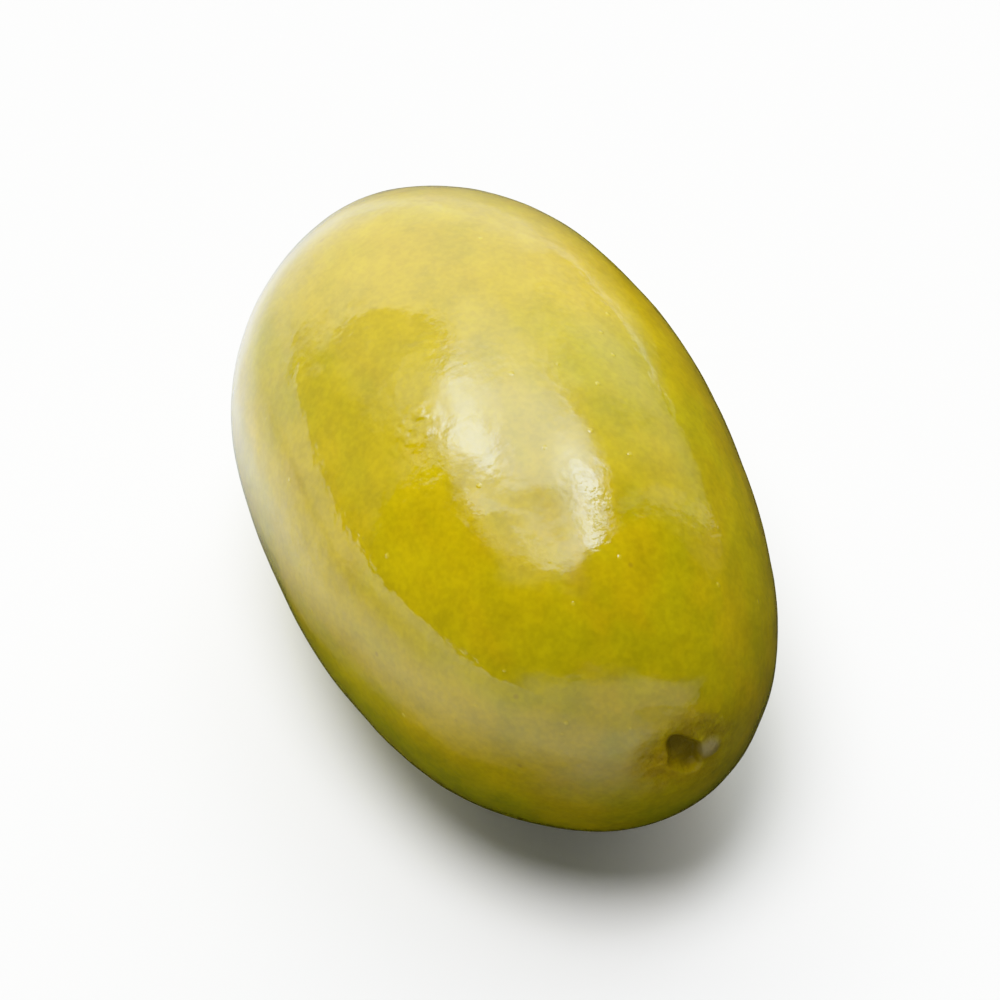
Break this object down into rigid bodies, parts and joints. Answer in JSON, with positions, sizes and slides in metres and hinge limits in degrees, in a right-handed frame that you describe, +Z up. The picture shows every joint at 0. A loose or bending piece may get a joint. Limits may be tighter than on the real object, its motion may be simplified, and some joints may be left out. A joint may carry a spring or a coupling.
{
  "type": "green olive",
  "caption": "Green table olive, long oval fruit lying on its side, with a stem scar at one end and a small blunt point at the other.",
  "frame": {"origin": "on the surface that the fruit lies on, under the middle of its box", "axes": "+X along the fruit towards the stem scar, +Z up, the fruit bows slightly towards +Y"},
  "size_m": [0.0378, 0.0228, 0.0227],
  "materials": {
    "olive_skin": "smooth wet yellow-green skin with golden mottling, fine pale specks and a glossy film; brown in the stem scar"
  },
  "bodies": {
    "root": {"olive": "olive_skin"}
  },
  "joints": []
}
